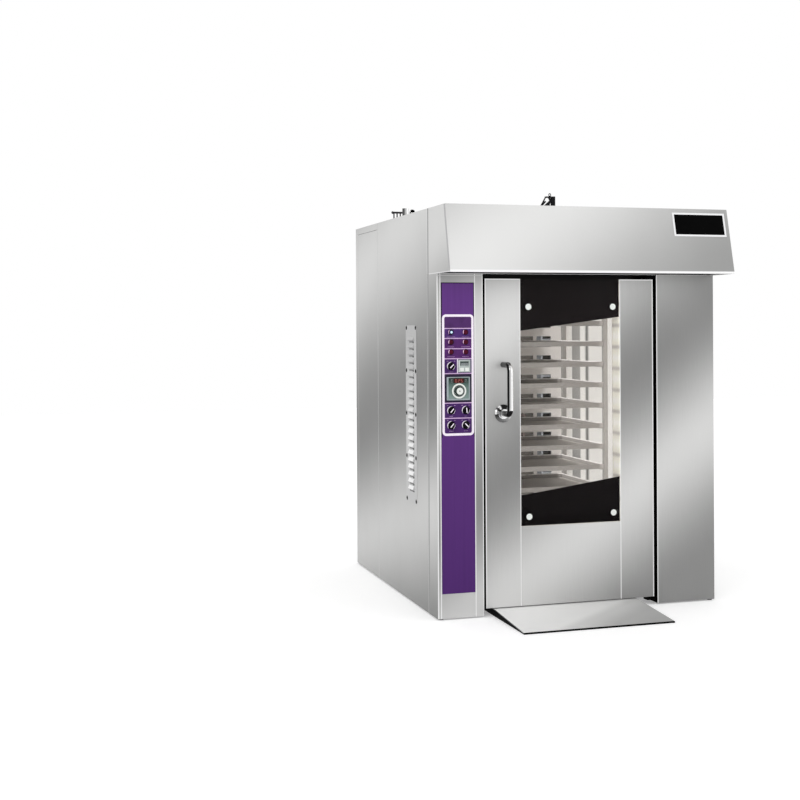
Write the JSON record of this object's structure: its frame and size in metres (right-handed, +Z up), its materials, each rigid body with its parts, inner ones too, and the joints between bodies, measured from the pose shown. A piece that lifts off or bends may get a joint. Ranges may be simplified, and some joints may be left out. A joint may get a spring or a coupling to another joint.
{
  "type": "rotating rack oven",
  "caption": "Stainless steel rotating rack oven with a glazed hinged door, control column, steam canopy, entry ramp, roof drive and a hanging tray rack in a hot-air chamber",
  "frame": {"origin": "on the ground under the centre of the casing, on the underside of the middle foot", "axes": "+X right along the front as seen by the user, -Y out of the door, +Z up"},
  "size_m": [1.66, 2.121, 2.3665],
  "materials": {
    "stainless_sheet": "brushed",
    "liner_sheet": "satin",
    "bright_steel": "polished",
    "frame_paint": "satin",
    "black_paint": "satin",
    "aluminium": "satin",
    "floor_steel": "satin",
    "mineral_wool": "matte",
    "panel_foil": "gloss",
    "lamp_lens": "gloss",
    "module_grey": "matte",
    "knob_black": "satin",
    "dial_white": "satin",
    "glass_clear": "polished",
    "mask_black": "gloss",
    "seal_rubber": "matte",
    "belt_rubber": "matte",
    "lamp_glass": "satin",
    "heater_alloy": "oxidised",
    "cast_housing": "rough",
    "wheel_resin": "satin"
  },
  "bodies": {
    "oven": {"main_frame": "frame_paint", "chamber_floor": "floor_steel", "chamber_shell": "liner_sheet", "air_panel": "liner_sheet", "insulation": "mineral_wool", "control_column": "stainless_sheet", "right_column": "stainless_sheet", "left_front_panel": "stainless_sheet", "left_rear_panel": "stainless_sheet", "right_side_panel": "stainless_sheet", "rear_panel": "stainless_sheet", "roof_panel": "stainless_sheet", "canopy": "stainless_sheet", "nameplate": "aluminium", "vent_strip": "stainless_sheet", "control_panel": "panel_foil", "indicator_lamps": "lamp_lens", "timer_module": "module_grey", "temperature_controller": "module_grey", "ramp_plate": "stainless_sheet", "ramp_support": "black_paint", "strike_plate": "bright_steel", "pivot_brackets": "frame_paint", "chamber_lamps": "lamp_glass", "casing_screws": "bright_steel", "heater_elements": "heater_alloy", "fan_motor": "cast_housing", "steam_generator": "cast_housing", "water_manifold": "cast_housing", "exhaust_flue": "floor_steel", "relief_elbow": "floor_steel", "shaft_bearing": "cast_housing", "drive_gearmotor": "black_paint", "drive_belt": "belt_rubber"},
    "door": {"door_skin": "stainless_sheet", "door_core": "mineral_wool", "door_liner": "liner_sheet", "window_mask": "mask_black", "outer_glass": "glass_clear", "inner_glass": "glass_clear", "glass_caps": "bright_steel", "door_gasket": "seal_rubber", "pivot_pins": "bright_steel", "handle_rosette": "bright_steel"},
    "handle": {"handle_lever": "bright_steel"},
    "latch": {"latch_bolt": "bright_steel"},
    "rack": {"rack_spindle": "bright_steel", "rack_frame": "liner_sheet", "trays": "aluminium"},
    "front_wheel_pair": {"front_wheels": "wheel_resin"},
    "rear_wheel_pair": {"rear_wheels": "wheel_resin"},
    "motor_shaft": {"motor_pulley": "floor_steel"},
    "fan": {"fan_impeller": "liner_sheet"},
    "damper": {"exhaust_damper": "floor_steel"},
    "programme": {"programme_knob": "knob_black"},
    "light": {"light_switch": "knob_black"},
    "steam": {"steam_switch": "knob_black"},
    "air": {"fan_switch": "knob_black"},
    "heat": {"heat_switch": "knob_black"},
    "dial": {"temperature_dial": "dial_white"}
  },
  "joints": [
    {"name": "door_swing", "type": "hinge", "parent": "oven", "child": "door", "pos_m": [0.432, -0.818, 0.929], "axis": [0, 0, 1], "range_deg": [0, 100]},
    {"name": "handle_turn", "type": "hinge", "parent": "door", "child": "handle", "pos_m": [-0.446, -0.838, 1.089], "axis": [0, 1, 0], "range_deg": [0, 60]},
    {"name": "latch_slide", "type": "slide", "parent": "door", "child": "latch", "axis": [1, 0, 0], "range_m": [0, 0.01]},
    {"name": "rack_turn", "type": "hinge", "parent": "oven", "child": "rack", "pos_m": [-0.048, -0.118, 2], "axis": [0, 0, 1], "continuous": true},
    {"name": "motor_spin", "type": "hinge", "parent": "oven", "child": "motor_shaft", "pos_m": [0.135, -0.1, 2.053], "axis": [0, 0, 1], "continuous": true},
    {"name": "front_wheel_roll", "type": "hinge", "parent": "rack", "child": "front_wheel_pair", "pos_m": [-0.048, -0.34797, 0.098], "axis": [1, 0, 0], "continuous": true},
    {"name": "rear_wheel_roll", "type": "hinge", "parent": "rack", "child": "rear_wheel_pair", "pos_m": [-0.048, 0.11197, 0.098], "axis": [1, 0, 0], "continuous": true},
    {"name": "fan_spin", "type": "hinge", "parent": "oven", "child": "fan", "pos_m": [-0.048, 0.532, 0.92], "axis": [0, 1, 0], "continuous": true},
    {"name": "damper_turn", "type": "hinge", "parent": "oven", "child": "damper", "pos_m": [-0.74, -0.013, 2.13], "axis": [0, 1, 0], "range_deg": [0, 90]},
    {"name": "programme_turn", "type": "hinge", "parent": "oven", "child": "programme", "pos_m": [-0.746, -0.852, 1.349], "axis": [0, 1, 0], "range_deg": [0, 135]},
    {"name": "light_switch_turn", "type": "hinge", "parent": "oven", "child": "light", "pos_m": [-0.746, -0.852, 1.113], "axis": [0, 1, 0], "range_deg": [0, 90]},
    {"name": "steam_switch_turn", "type": "hinge", "parent": "oven", "child": "steam", "pos_m": [-0.664, -0.852, 1.113], "axis": [0, 1, 0], "range_deg": [-45, 45]},
    {"name": "air_switch_turn", "type": "hinge", "parent": "oven", "child": "air", "pos_m": [-0.746, -0.852, 1.034], "axis": [0, 1, 0], "range_deg": [0, 90]},
    {"name": "heat_switch_turn", "type": "hinge", "parent": "oven", "child": "heat", "pos_m": [-0.664, -0.852, 1.034], "axis": [0, 1, 0], "range_deg": [-90, 0]},
    {"name": "dial_turn", "type": "hinge", "parent": "oven", "child": "dial", "pos_m": [-0.704, -0.858, 1.216], "axis": [0, 1, 0], "range_deg": [-150, 150]}
  ],
  "couplings": [
    {"joint": "latch_slide", "follows": "handle_turn", "m_per_rad": 0.0095493},
    {"joint": "motor_spin", "follows": "rack_turn", "ratio": 3}
  ]
}
